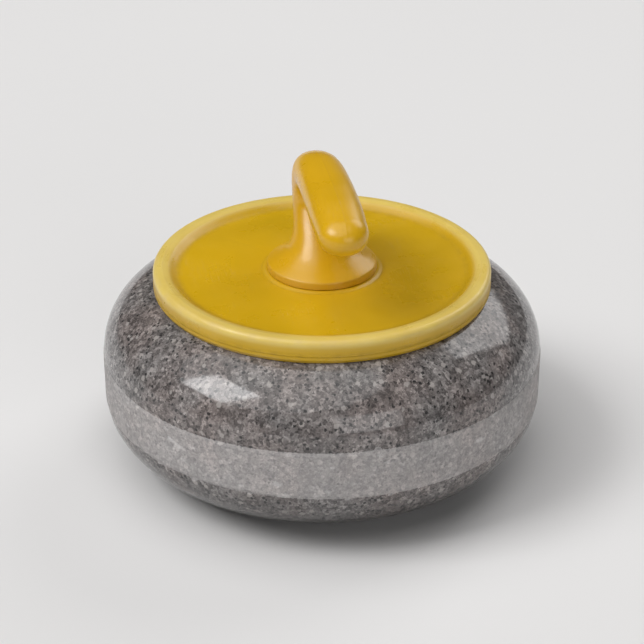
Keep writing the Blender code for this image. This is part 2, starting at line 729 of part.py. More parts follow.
main()
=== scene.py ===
"""Looks of the curling stone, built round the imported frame.

Each CAD node is stood for by a finely turned, lofted or threaded mesh of the same size in the same place,
with a procedural material. Outlines are in millimetres in the frame's own axes: +Z up the bolt, +X along the
grip.
"""

import math
import random

import bmesh
import bpy
import numpy as np
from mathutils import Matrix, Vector, noise


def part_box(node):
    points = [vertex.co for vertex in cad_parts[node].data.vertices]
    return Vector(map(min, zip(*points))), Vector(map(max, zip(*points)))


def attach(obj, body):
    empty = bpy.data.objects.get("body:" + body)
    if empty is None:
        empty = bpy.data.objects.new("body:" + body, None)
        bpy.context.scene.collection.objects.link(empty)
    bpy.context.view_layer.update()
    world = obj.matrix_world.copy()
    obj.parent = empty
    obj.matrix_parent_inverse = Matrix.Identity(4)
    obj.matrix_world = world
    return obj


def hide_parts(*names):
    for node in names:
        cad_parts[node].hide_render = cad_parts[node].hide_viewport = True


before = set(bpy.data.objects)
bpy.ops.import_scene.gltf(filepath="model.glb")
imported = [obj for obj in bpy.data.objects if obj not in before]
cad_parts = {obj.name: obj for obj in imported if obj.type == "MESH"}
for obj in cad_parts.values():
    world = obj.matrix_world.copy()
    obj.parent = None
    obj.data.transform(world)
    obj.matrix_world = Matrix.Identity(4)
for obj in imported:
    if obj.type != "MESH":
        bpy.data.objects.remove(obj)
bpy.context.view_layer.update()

MM = 0.001
GAP = 0.3  # room that the frame leaves between clamped pieces
LIFT = 0.45  # room between the disc's lower edge and the granite


def box_mm(node):
    low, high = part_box(node)
    return np.array(low) / MM, np.array(high) / MM


# ---------------------------------------------------------------- sizes, from the frame

STONE_RADIUS, STONE_HEIGHT = box_mm("granite_body")[1][[0, 2]]
INSERT_RADIUS, INSERT_TOP = box_mm("running_insert")[1][[0, 2]]
DISC_RADIUS, RIM_CREST = box_mm("colour_disc")[1][[0, 2]]
SEAL_RADIUS, SEAL_TOP = box_mm("seal_ring")[1][[0, 2]]
FOOT_Z = box_mm("handle")[0][2]
BOLT_LOW, BOLT_TOP = box_mm("handle_bolt")[0][2], box_mm("handle_bolt")[1][2]
SPIGOT_LOW, THREADED_INSERT_TOP = box_mm("threaded_insert")[0][2], box_mm("threaded_insert")[1][2]
SLIP_WASHER_LOW, SLIP_WASHER_TOP = box_mm("slip_washer")[0][2], box_mm("slip_washer")[1][2]
SEAT_Z = SLIP_WASHER_LOW - GAP
DISC_LOW = SLIP_WASHER_TOP + GAP
HUB_TOP = FOOT_Z - GAP

# Shape of the granite, which the boxes don't tell
BAND_WIDTH = 30.0
BAND_STEP = 0.6
UPPER_BULGE, LOWER_BULGE = 2.2, 1.9
LAND_RADIUS, CUP_RADIUS, SEAT_RADIUS = 69.0, 62.0, 30.0
RING_OUTER, RING_INNER, RING_EDGE = 68.5, 62.0, 0.6
RUNNING_CUP_DEPTH = 10.0
WELL_RADIUS, BORE_RADIUS, BOLT_SEAT = 19.0, 8.0, 30.0
SHOULDER_RADIUS = STONE_RADIUS - BAND_STEP
BAND_LOW, BAND_HIGH = (STONE_HEIGHT - BAND_WIDTH) / 2, (STONE_HEIGHT + BAND_WIDTH) / 2
FOOT_SHADE_HEIGHTS = (16 * MM, 50 * MM)  # in metres: painted shade at the foot, where the granite's tone rises from its darkest to normal

# Threads: pitch, ridge height
BOLT_RADIUS, PITCH, THREAD_HEIGHT = 5.9, 1.75, 1.0
SPIGOT_RADIUS = 9.2
HUB_RADIUS = 36.3
SCREW_CIRCLE = 20.0

# Studio: the camera looks down at the tip of the grip, a little to one side of it
CAMERA_AZIMUTH, CAMERA_ELEVATION = 80.0, 28.0
TARGET = Vector((0.0, 0.0, 0.091))
BACKDROP = 0.8
BACKDROP_COLOUR = (0.97, 0.965, 0.965, 1.0)
FLOOR_REACH = 40.0  # metres from the stone to each side of the floor
FLOOR_FADE = (1.5, 7.0)  # metres from the stone over which the floor turns into the backdrop


# ---------------------------------------------------------------- node trees


class Nodes:
    """Short calls for building one material's node tree."""

    def __init__(self, name):
        self.material = bpy.data.materials.new(name)
        self.material.use_nodes = True
        self.tree = self.material.node_tree
        self.shader = self.tree.nodes["Principled BSDF"]
        self.place = self.add("TexCoord").outputs["Object"]

    def put(self, socket, value):
        if isinstance(value, bpy.types.NodeSocket):
            self.tree.links.new(value, socket)
        else:
            socket.default_value = value

    def add(self, kind, inputs=(), **settings):
        node = self.tree.nodes.new("ShaderNode" + kind)
        for key, value in settings.items():
            setattr(node, key, value)
        for key, value in dict(inputs).items():
            self.put(node.inputs[key], value)
        return node

    def math(self, operation, a, b=0.0, clamp=False):
        return self.add("Math", {0: a, 1: b}, operation=operation, use_clamp=clamp).outputs[0]

    def noise(self, size, detail=2.0, place=None, roughness=0.5):
        """Smooth noise from 0 to 1 whose features are about this many millimetres across."""
        inputs = {"Vector": place or self.place, "Scale": 1 / (size * MM), "Detail": detail}
        inputs["Roughness"] = roughness
        return self.add("TexNoise", inputs).outputs

    def voronoi(self, size, place=None, **settings):
        inputs = {"Vector": place or self.place, "Scale": 1 / (size * MM)}
        return self.add("TexVoronoi", inputs, **settings).outputs

    def span(self, value, low, high, new_low=0.0, new_high=1.0):
        """Value moved from low..high to new_low..new_high, and held inside it."""
        inputs = {"Value": value, 1: low, 2: high, 3: new_low, 4: new_high}
        return self.add("MapRange", inputs, interpolation_type="SMOOTHSTEP").outputs[0]

    def mix(self, share, a, b, blend="MIX"):
        node = self.add("Mix", {0: share, 6: a, 7: b}, data_type="RGBA", blend_type=blend)
        return node.outputs[2]

    def blend(self, share, a, b):
        return self.add("Mix", {0: share, 2: a, 3: b}, data_type="FLOAT").outputs[0]

    def ramp(self, value, stops, interpolation="LINEAR"):
        node = self.add("ValToRGB", {0: value})
        node.color_ramp.interpolation = interpolation
        elements = node.color_ramp.elements
        for place, colour in stops[2:]:
            elements.new(place)
        for element, (place, colour) in zip(elements, stops):
            element.position, element.color = place, (*colour, 1.0)
        return node.outputs[0]

    def scaled(self, colour, factor):
        if isinstance(colour, tuple):
            colour = colour[:3]
        return self.add("VectorMath", {0: colour, "Scale": factor}, operation="SCALE").outputs[0]

    def attribute(self, name):
        return self.add("Attribute", attribute_name=name).outputs["Fac"]

    def finish(self, colour, roughness, height=None, depth=0.1, metallic=0.0, ior=1.5):
        """Wires up the shader. depth is the bumps' height in millimetres, for a height from 0 to 1."""
        self.put(self.shader.inputs["Base Color"], colour)
        self.put(self.shader.inputs["Roughness"], roughness)
        self.put(self.shader.inputs["Metallic"], metallic)
        self.put(self.shader.inputs["IOR"], ior)
        if height is not None:
            bump = self.add("Bump", {"Height": height, "Distance": depth * MM, "Strength": 1.0})
            self.put(self.shader.inputs["Normal"], bump.outputs[0])
        return self.material


def granite(name, grain, minerals, fleck_share, frosted, low_tone=1.0):
    """Polished granite, frosted where the mesh's rough attribute is 1. Grain is the crystals' size. The tone
    falls to low_tone at the foot: painted shade, for the stone's own shadow on its lower edge."""
    n = Nodes(name)
    swirl = n.noise(grain * 0.55, 2.0)["Color"]
    wobble = n.add("VectorMath", {0: swirl, 1: (0.5,) * 3}, operation="SUBTRACT")
    shake = (0.75 * grain * MM,) * 3
    inputs = {0: wobble.outputs[0], 1: shake, 2: n.place}
    place = n.add("VectorMath", inputs, operation="MULTIPLY_ADD").outputs[0]

    # Interlocking crystals, small ones between large ones, over a slow drift in tone
    large = n.add("SeparateColor", {0: n.voronoi(grain, place)["Color"]}).outputs
    small = n.add("SeparateColor", {0: n.voronoi(grain * 0.42, place)["Color"]}).outputs
    pick = n.blend(0.42, large[0], small[0])
    colour = n.ramp(pick, minerals)
    colour = n.scaled(colour, n.span(small[1], 0.0, 1.0, 0.9, 1.1))
    mottle = n.noise(15.0, 4.0)["Fac"]
    colour = n.scaled(colour, n.span(mottle, 0.28, 0.72, 0.82, 1.14))
    warm = n.span(n.noise(36.0, 2.0)["Fac"], 0.35, 0.7)
    colour = n.mix(warm, colour, n.mix(1.0, colour, (1.07, 0.98, 0.95, 1), "MULTIPLY"))

    # Dark mica flecks in loose clusters, and a few pale feldspar crystals
    fleck = n.voronoi(grain * 1.25, place)
    cluster = n.span(n.noise(9.0, 2.0)["Fac"], 0.3, 0.7, -0.16, 0.16)
    lot = n.math("ADD", n.add("SeparateColor", {0: fleck["Color"]}).outputs[0], cluster)
    chosen = n.span(lot, 1 - fleck_share, 1.02 - fleck_share)
    dark = n.math("MULTIPLY", chosen, n.span(fleck["Distance"], 0.4, 0.28))
    pale = n.voronoi(grain * 2.1, place)
    chosen = n.span(n.add("SeparateColor", {0: pale["Color"]}).outputs[1], 0.86, 0.88)
    bright = n.math("MULTIPLY", chosen, n.span(pale["Distance"], 0.4, 0.3))
    colour = n.mix(n.math("MULTIPLY", bright, 0.7), colour, (0.42, 0.39, 0.37, 1))
    colour = n.mix(n.math("MULTIPLY", dark, 0.85), colour, (0.018, 0.019, 0.02, 1))

    # Frosted where it is pecked: paler, with bruises left by other stones
    frost = n.noise(1.5, 3.0, roughness=0.7)["Fac"]
    ragged = n.math("MULTIPLY", n.math("SUBTRACT", n.noise(2.2, 4.0, roughness=0.7)["Fac"], 0.5), 1.1)
    rough = n.span(n.math("ADD", n.attribute("rough"), ragged), 0.4, 0.6)
    pale = n.mix(0.4, n.scaled(colour, 1.3), frosted)
    pale = n.scaled(pale, n.span(frost, 0.25, 0.8, 0.82, 1.16))
    for size, share, seed in ((11.0, 0.16, 0.0), (19.0, 0.3, 5.0)):
        scale = n.add("Mapping", {"Vector": n.place, "Location": (seed,) * 3, "Scale": (1.0, 1.0, 1.9)})
        bruise = n.voronoi(size, scale.outputs[0])
        hit = n.span(n.add("SeparateColor", {0: bruise["Color"]}).outputs[2], 1 - share, 1.01 - share)
        torn = n.noise(size * 0.16, 4.0, roughness=0.75)["Fac"]
        near = n.math("ADD", bruise["Distance"], n.math("MULTIPLY", n.math("SUBTRACT", torn, 0.5), 0.9))
        hit = n.math("MULTIPLY", hit, n.span(near, 0.3, 0.05))
        pale = n.mix(n.math("MULTIPLY", hit, 0.38), pale, (0.8, 0.79, 0.78, 1))
    colour = n.mix(rough, colour, pale)
    # Painted shade: darker towards the foot, for the stone's own shadow on its lower edge
    rise = n.add("SeparateXYZ", {0: n.place}).outputs[2]
    colour = n.scaled(colour, n.span(rise, *FOOT_SHADE_HEIGHTS, low_tone, 1.0))

    smear = n.noise(42.0, 3.0)["Fac"]
    polish = n.math("ADD", n.span(smear, 0.35, 0.7, 0.07, 0.16), n.math("MULTIPLY", dark, 0.12))
    pits = n.math("MULTIPLY", n.voronoi(1.5)["Distance"], 0.6)
    rough_height = n.math("ADD", n.noise(0.5, 2.0)["Fac"], pits)
    smooth_height = n.math("MULTIPLY", n.math("SUBTRACT", 1.0, dark), 0.06)
    height = n.blend(rough, smooth_height, rough_height)
    return n.finish(colour, n.blend(rough, polish, 0.8), height, depth=0.2, ior=1.53)


def moulded_plastic(name, colour, scuffs):
    """Glossy moulded plastic with a fine tool texture, hairline scratches, a paler rim that is a painted
    highlight, dull edges where it rubs, and painted shade in its hollows, which are also made duller."""
    n = Nodes(name)
    tone = n.noise(60.0, 2.0)["Fac"]
    shade = n.scaled(colour, n.span(tone, 0.3, 0.7, 0.94, 1.05))
    patch = n.noise(11.0, 4.0, roughness=0.6)["Fac"]
    worn = n.math("MULTIPLY", n.attribute("edge"), n.span(patch, 0.3, 0.75), clamp=True)
    paler = (*(0.72 * c + 0.28 * 0.8 for c in colour), 1.0)
    # Painted highlight: the rim is mixed towards pale yellow, standing in for the light that the rolled rim
    # catches
    rim_highlight_colour = (*(0.5 * c + 0.5 * pale for c, pale in zip(colour, (0.95, 0.82, 0.3))), 1.0)
    pale_share = n.math("MULTIPLY", n.attribute("rim"), n.span(n.noise(20.0, 3.0)["Fac"], 0.25, 0.75, 0.75, 1.0))
    shade = n.mix(pale_share, shade, rim_highlight_colour)
    shade = n.mix(n.math("MULTIPLY", worn, 0.4), shade, paler)
    # Painted shade: the concave hollows are darkened, standing in for the shade that falls in them; they are
    # also made duller
    hollow_shade = n.math("MULTIPLY", n.attribute("hollow"), n.span(n.noise(6.0, 4.0)["Fac"], 0.25, 0.75, 0.35, 1.0))
    hollow_shade_colour = (*(0.3 * c + 0.012 for c in colour), 1.0)
    shade = n.mix(n.math("MULTIPLY", hollow_shade, 0.5, clamp=True), shade, hollow_shade_colour)

    # Hairlines are the thin zero crossings of a stretched, twisted noise; two directions cross each other.
    hairs = None
    for turn, stretch in ((0.4, 26.0), (1.7, 38.0)):
        inputs = {"Vector": n.place, "Rotation": (0.0, 0.0, turn), "Scale": (1.0, stretch, 6.0)}
        mapping = n.add("Mapping", inputs)
        field = n.noise(46.0, 2.0, mapping.outputs[0])["Fac"]
        line = n.span(n.math("ABSOLUTE", n.math("SUBTRACT", field, 0.5)), 0.006, 0.0)
        hairs = line if hairs is None else n.math("MAXIMUM", hairs, line)
    patchy = n.span(n.noise(30.0, 2.0)["Fac"], 0.45, 0.65)
    hairs = n.math("MULTIPLY", hairs, n.math("MULTIPLY", patchy, scuffs))
    shade = n.mix(n.math("MULTIPLY", hairs, 0.34), shade, paler)

    smear = n.noise(24.0, 4.0)["Fac"]
    dull = n.math("ADD", n.span(smear, 0.3, 0.7, 0.24, 0.38), n.math("MULTIPLY", worn, 0.22))
    dull = n.math("ADD", dull, n.math("MULTIPLY", hairs, 0.2))
    dull = n.math("ADD", dull, n.math("MULTIPLY", hollow_shade, 0.3), True)
    height = n.math("ADD", n.math("MULTIPLY", n.noise(0.42, 2.0)["Fac"], 0.28), n.noise(9.0, 1.0)["Fac"])
    height = n.math("SUBTRACT", height, n.math("MULTIPLY", hairs, 0.35))
    n.put(n.shader.inputs["Coat Weight"], 0.12)
    n.put(n.shader.inputs["Coat Roughness"], 0.12)
    return n.finish(shade, dull, height, depth=0.03)


def metal(name, colour, roughness, tarnish):
    """Turned metal: fine rings round the axis, blotchy tarnish, and brighter edges."""
    n = Nodes(name)
    blotch = n.noise(5.0, 4.0, roughness=0.65)["Fac"]
    shade = n.mix(n.span(blotch, 0.45, 0.75, 0.0, 0.6), (*colour, 1.0), (*tarnish, 1.0))
    edge = n.attribute("edge")
    worn = (*(min(1.0, 1.25 * c) for c in colour), 1.0)
    shade = n.mix(n.math("MULTIPLY", edge, 0.5, clamp=True), shade, worn)
    mapping = n.add("Mapping", {"Vector": n.place, "Scale": (0.3, 0.3, 8.0)})
    turning = n.noise(1.2, 2.0, mapping.outputs[0])["Fac"]
    dull = n.span(n.noise(3.0, 3.0)["Fac"], 0.3, 0.7, roughness - 0.08, roughness + 0.12)
    return n.finish(shade, dull, turning, depth=0.02, metallic=1.0)


def soft_sheet(name, colour, roughness, size, depth):
    """Rubber or nylon: a flat colour broken up by bloom and fine grain."""
    n = Nodes(name)
    bloom = n.noise(8.0, 4.0)["Fac"]
    dusty = tuple(0.8 * c + 0.06 for c in colour)
    shade = n.mix(n.span(bloom, 0.4, 0.75, 0.0, 0.8), (*colour, 1.0), (*dusty, 1.0))
    dull = n.span(bloom, 0.3, 0.7, roughness - 0.08, roughness + 0.08)
    return n.finish(shade, dull, n.noise(size, 3.0)["Fac"], depth=depth)


def floor_material():
    """A matt floor that the camera sees turn into the backdrop far away, so that no horizon shows."""
    n = Nodes("pale_floor")
    tone = n.noise(700.0, 2.0)["Fac"]
    shade = n.scaled((0.80, 0.79, 0.785, 1.0), n.span(tone, 0.3, 0.7, 0.985, 1.0))
    n.put(n.shader.inputs["Specular IOR Level"], 0.0)
    reach = n.add("VectorMath", {0: n.place}, operation="LENGTH").outputs["Value"]
    sight = n.add("LightPath").outputs["Is Camera Ray"]
    pale_share = n.math("MULTIPLY", n.span(reach, *FLOOR_FADE), sight)
    n.put(n.shader.inputs["Emission Color"], BACKDROP_COLOUR)
    n.put(n.shader.inputs["Emission Strength"], n.math("MULTIPLY", pale_share, BACKDROP))
    return n.finish(n.scaled(shade, n.math("SUBTRACT", 1.0, pale_share)), 0.9)


# ---------------------------------------------------------------- mesh building


def add_piece(name, body, material, vertices, faces, attributes=(), replaces=None, sharp=35):
    """A mesh in millimetres that rides on a body and stands for a CAD node."""
    mesh = bpy.data.meshes.new(name)
    mesh.from_pydata((np.asarray(vertices) * MM).tolist(), [], faces)
    for key, values in dict(attributes).items():
        attribute = mesh.attributes.new(key, "FLOAT", "POINT")
        attribute.data.foreach_set("value", np.ascontiguousarray(values, np.float32).ravel())
    bm = bmesh.new()
    bm.from_mesh(mesh)
    bmesh.ops.recalc_face_normals(bm, faces=bm.faces)
    bm.to_mesh(mesh)
    bm.free()
    mesh.materials.append(material)
    mesh.shade_smooth()
    mesh.set_sharp_from_angle(angle=math.radians(sharp))
    obj = bpy.data.objects.new(name, mesh)
    bpy.context.scene.collection.objects.link(obj)
    if body:
        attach(obj, body)
    if replaces:
        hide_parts(replaces)
    return obj


def skin(rings, loop=False):
    """Faces over rings of equally many points. A loop joins the last ring to the first, and otherwise the
    first and last rings are closed with one face each."""
    count, width = len(rings), len(rings[0])
    faces = []
    for i in range(count if loop else count - 1):
        low, high = i * width, (i + 1) % count * width
        for j in range(width):
            k = (j + 1) % width
            faces.append((low + j, low + k, high + k, high + j))
    if not loop:
        faces.append(tuple(range(width)))
        faces.append(tuple(range((count - 1) * width, count * width)))
    return faces


def revolve(outline, columns):
    """Rings of points round Z, one for each (radius, height) of the outline."""
    angles = np.linspace(0, math.tau, columns, endpoint=False)
    radius, height = np.array(outline).T
    x = radius[:, None] * np.cos(angles)
    y = radius[:, None] * np.sin(angles)
    return np.stack([x, y, np.repeat(height[:, None], columns, 1)], axis=2)


def fillet(corners, arc_step=18):
    """A closed outline from (radius, height, fillet) corners. Each fillet is an arc, in steps of about that
    many degrees."""
    outline = []
    for before, corner, after in zip(corners[-1:] + corners[:-1], corners, corners[1:] + corners[:1]):
        here = np.array(corner[:2])
        to_before, to_after = np.array(before[:2]) - here, np.array(after[:2]) - here
        lengths = np.linalg.norm(to_before), np.linalg.norm(to_after)
        to_before, to_after = to_before / lengths[0], to_after / lengths[1]
        inside = math.acos(float(np.clip(to_before @ to_after, -1, 1)))
        if corner[2] == 0 or inside > math.radians(175):
            outline.append(tuple(here))
            continue
        reach = min(corner[2] / math.tan(inside / 2), 0.49 * min(lengths))
        radius = reach * math.tan(inside / 2)
        middle = to_before + to_after
        centre = here + middle / np.linalg.norm(middle) * radius / math.sin(inside / 2)
        start, end = here + to_before * reach - centre, here + to_after * reach - centre
        sweep = math.atan2(start[0] * end[1] - start[1] * end[0], float(start @ end))
        steps = max(2, math.ceil(abs(math.degrees(sweep)) / arc_step))
        for i in range(steps + 1):
            turn = sweep * i / steps
            c, s = math.cos(turn), math.sin(turn)
            outline.append((centre[0] + c * start[0] - s * start[1], centre[1] + s * start[0] + c * start[1]))
    return outline


def resample(outline, spacing):
    """The same open outline with no two points further apart than the spacing."""
    result = [tuple(outline[0])]
    for start, end in zip(outline, outline[1:]):
        steps = max(1, math.ceil(math.dist(start, end) / spacing))
        for i in range(1, steps + 1):
            result.append(tuple(a + (b - a) * i / steps for a, b in zip(start, end)))
    return result


def bends(outline):
    """How sharply a closed outline bends at each point, outwards and inwards, as 1/radius in 1/mm and at
    most 1."""
    points = np.array(outline)
    before, after = points - np.roll(points, 1, 0), np.roll(points, -1, 0) - points
    area = np.sum(points[:, 0] * np.roll(points[:, 1], -1) - points[:, 1] * np.roll(points[:, 0], -1))
    cross = before[:, 0] * after[:, 1] - before[:, 1] * after[:, 0]
    turn = np.arctan2(cross, np.sum(before * after, 1)) * np.sign(area)
    length = (np.linalg.norm(before, axis=1) + np.linalg.norm(after, axis=1)) / 2
    curvature = turn / np.maximum(length, 1e-6)
    return np.clip(curvature, 0, 1), np.clip(-curvature, 0, 1)


def turned(name, body, material, corners, columns, replaces, spacing=None):
    """A piece turned from a closed outline of (radius, height, fillet) corners."""
    outline = fillet(corners)
    if spacing:
        outline = resample(outline + outline[:1], spacing)[:-1]
    rings = revolve(outline, columns)
    edge = np.repeat(bends(outline)[0][:, None], columns, 1)
    return add_piece(
        name, body, material, rings.reshape(-1, 3), skin(rings, True), {"edge": edge}, replaces
    )


def ring_at(radius_at, height, columns, centre=(0.0, 0.0)):
    angles = [math.tau * i / columns for i in range(columns)]
    return [
        (centre[0] + radius_at(a) * math.cos(a), centre[1] + radius_at(a) * math.sin(a), height)
        for a in angles
    ]


def circle(radius):
    return lambda angle: radius


def hexagon(flats, corner_radius=math.inf):
    """Radius of a hexagon with a corner at angle 0, cut off where a cone of that radius passes inside it."""
    sector = math.radians(60)
    return lambda angle: min(flats / 2 / math.cos(angle % sector - sector / 2), corner_radius)


class Rings:
    """A mesh in the making: rings of vertices, the faces between them, and helical ridges."""

    def __init__(self, columns):
        self.columns, self.vertices, self.faces = columns, [], []

    def ring(self, radius_at, height, centre=(0.0, 0.0)):
        start = len(self.vertices)
        self.vertices += ring_at(radius_at, height, self.columns, centre)
        return list(range(start, start + self.columns))

    def join(self, rings):
        for low, high in zip(rings, rings[1:]):
            for i in range(self.columns):
                k = (i + 1) % self.columns
                self.faces.append((low[i], low[k], high[k], high[i]))

    def thread(self, low_ring, high_ring, base, crest, crest_width, pitch, start, turns, centre=(0.0, 0.0)):
        """A ridge with 60 degree flanks that climbs from the low ring to the high one, both of the base
        radius."""
        columns = self.columns
        flank = abs(crest - base) * math.tan(math.radians(30))
        offsets = (0.0, flank, flank + crest_width, 2 * flank + crest_width)
        radii = (base, crest, crest, base)
        last = 4 * turns
        rows = []
        for j in range(last + 1):
            turn, part = divmod(j, 4)
            row = []
            for i in range(columns):
                angle = math.tau * i / columns
                x, y = radii[part] * math.cos(angle), radii[part] * math.sin(angle)
                row.append(len(self.vertices))
                height = start + pitch * (turn + i / columns) + offsets[part]
                self.vertices.append((centre[0] + x, centre[1] + y, height))
            rows.append(row)
        for j in range(last):
            for i in range(columns - 1):
                self.faces.append((rows[j][i], rows[j][i + 1], rows[j + 1][i + 1], rows[j + 1][i]))
        for j in range(last - 4):
            self.faces.append((rows[j][-1], rows[j + 4][0], rows[j + 5][0], rows[j + 1][-1]))
        first, top = rows[0], rows[last]
        for i in range(columns - 1):
            self.faces.append((low_ring[i], low_ring[i + 1], first[i + 1], first[i]))
            self.faces.append((top[i], top[i + 1], high_ring[i + 1], high_ring[i]))
        self.faces.append(tuple(rows[j][0] for j in range(4)))
        self.faces.append((low_ring[-1], low_ring[0], rows[0][0], rows[3][0], rows[4][0], first[-1]))
        self.faces.append(tuple(rows[last - 4 + j][-1] for j in range(4)))
        self.faces.append(
            (rows[last - 4][-1], top[0], high_ring[0], high_ring[-1], top[-1], rows[last - 1][-1])
        )


def carve(obj, cutters, operation="DIFFERENCE"):
    """Cuts the cutters out of a piece, or adds them to it, for good."""
    for cutter in cutters:
        modifier = obj.modifiers.new(cutter.name, "BOOLEAN")
        modifier.operation, modifier.object, modifier.solver = operation, cutter, "EXACT"
        evaluated = obj.evaluated_get(bpy.context.evaluated_depsgraph_get())
        mesh = bpy.data.meshes.new_from_object(evaluated)
        obj.modifiers.clear()
        obj.data = mesh
        bpy.data.objects.remove(cutter, do_unlink=True)
    obj.data.set_sharp_from_angle(angle=math.radians(35))


def cutter(name, rings):
    """A closed solid over rings of points, to carve with."""
    return add_piece(name, None, None, np.array(rings).reshape(-1, 3), skin(rings))


# ---------------------------------------------------------------- the stone


def superellipse_drop(radius, inner, outer, power):
    share = np.clip((np.asarray(radius, float) - inner) / (outer - inner), 0, 1)
    return 1 - (1 - share**power) ** (1 / power)


def upper_shoulder(radius):
    fall = STONE_HEIGHT - BAND_HIGH
    return STONE_HEIGHT - fall * superellipse_drop(radius, LAND_RADIUS, SHOULDER_RADIUS, UPPER_BULGE)


def lower_shoulder(radius):
    inner = RING_OUTER + RING_EDGE
    return RING_EDGE + (BAND_LOW - RING_EDGE) * superellipse_drop(radius, inner, SHOULDER_RADIUS, LOWER_BULGE)


def shoulder_outline(start, height_at, inner, power, count):
    span = SHOULDER_RADIUS - inner
    first = math.asin(((start - inner) / span) ** (power / 2)) if start > inner else 0.0
    radii = inner + span * np.sin(np.linspace(first, math.pi / 2, count)) ** (2 / power)
    return [(float(r), float(height_at(r))) for r in radii]


def top_cup(radius):
    share = (radius - SEAT_RADIUS) / (CUP_RADIUS - SEAT_RADIUS)
    return SEAT_Z + (STONE_HEIGHT - SEAT_Z) * share**2


def running_cup(radius):
    share = radius / (RING_INNER - RING_EDGE)
    return RING_EDGE + (RUNNING_CUP_DEPTH - RING_EDGE) * (1 - share**2)


def granite_sections():
    """The granite's closed outline in sections: points, how rough the surface is, and its rings' spacing."""
    pocket, well, spigot = INSERT_RADIUS + GAP, WELL_RADIUS + GAP, SPIGOT_RADIUS + 0.8
    well_top = SPIGOT_LOW - 2.3
    inner = RING_OUTER + RING_EDGE
    lower = shoulder_outline(pocket + 0.5, lower_shoulder, inner, LOWER_BULGE, 44)
    upper = shoulder_outline(LAND_RADIUS, upper_shoulder, LAND_RADIUS, UPPER_BULGE, 44)
    cup = [(float(r), float(top_cup(r))) for r in np.linspace(CUP_RADIUS - 0.6, SEAT_RADIUS, 12)]
    edge = STONE_RADIUS
    return [
        (
            [(BORE_RADIUS, well_top), (BORE_RADIUS, BOLT_SEAT), (well, BOLT_SEAT), (well, INSERT_TOP + GAP)],
            1.0, 14,
        ),
        ([(well, INSERT_TOP + GAP), (pocket, INSERT_TOP + GAP), (pocket, lower[0][1] + 0.5)], 1.0, 9),
        ([(pocket, lower[0][1] + 0.5), *lower], 0.0, 9),
        ([lower[-1], (edge - 0.25, BAND_LOW + 0.25), (edge, BAND_LOW + 0.8)], 1.0, 9),
        ([(edge, BAND_LOW + 0.8), (edge, BAND_HIGH - 0.8)], 1.0, 1.15),
        ([(edge, BAND_HIGH - 0.8), (edge - 0.25, BAND_HIGH - 0.25), upper[-1]], 1.0, 9),
        (
            [*reversed(upper), (CUP_RADIUS + 0.5, STONE_HEIGHT), (CUP_RADIUS, STONE_HEIGHT - 0.2), *cup],
            0.0, 9,
        ),
        ([cup[-1], (spigot, SEAT_Z), (spigot, well_top), (BORE_RADIUS, well_top)], 1.0, 14),
    ]


def chips(count, seed):
    """Places, radii and depths of the nicks that other stones leave along the band's two edges and on its
    face."""
    draw = random.Random(seed)
    for i in range(count):
        angle = draw.uniform(0, math.tau)
        on_edge = i % 3 != 0
        height = draw.choice((BAND_LOW, BAND_HIGH)) if on_edge else draw.uniform(BAND_LOW + 6, BAND_HIGH - 6)
        place = np.array([STONE_RADIUS * math.cos(angle), STONE_RADIUS * math.sin(angle), height])
        size = draw.uniform(1.6, 3.8) if on_edge else draw.uniform(1.4, 2.6)
        yield place, size, (0.2 if on_edge else 0.12) * size


def make_stone(material):
    columns = 600
    outline, rough = [], []
    for points, roughness, spacing in granite_sections():
        section = resample(points, spacing)
        outline += section[:-1]
        rough += [roughness] * (len(section) - 1)
    rough = np.maximum(rough, np.roll(rough, 1))  # a section's first ring also ends the one before
    rings = revolve(outline, columns)
    rough = np.repeat(np.array(rough, float)[:, None], columns, 1)

    radius = np.hypot(rings[..., 0], rings[..., 1])
    on_band = (radius > SHOULDER_RADIUS - 0.01) & (rings[..., 2] > BAND_LOW) & (rings[..., 2] < BAND_HIGH)
    inward = -rings / np.maximum(radius, 1e-6)[..., None] * (1, 1, 0)
    for i, j in zip(*np.nonzero(on_band)):
        place = Vector(rings[i, j])
        pecked = 0.5 + 0.5 * noise.noise(place / 1.9) + 0.35 * noise.noise(place / 5.5)
        rings[i, j] += inward[i, j] * 0.17 * max(0.0, pecked)
    for place, size, depth in chips(46, 11):
        distance = np.linalg.norm(rings - place, axis=2)
        share = np.clip(1 - (distance / size) ** 2, 0, 1)
        rings += inward * (share * depth)[..., None]
        rough = np.maximum(rough, np.clip(3 * share, 0, 1))
    return add_piece(
        "stone_body", "stone", material, rings.reshape(-1, 3), skin(rings, True),
        {"rough": rough}, "granite_body", sharp=60,
    )


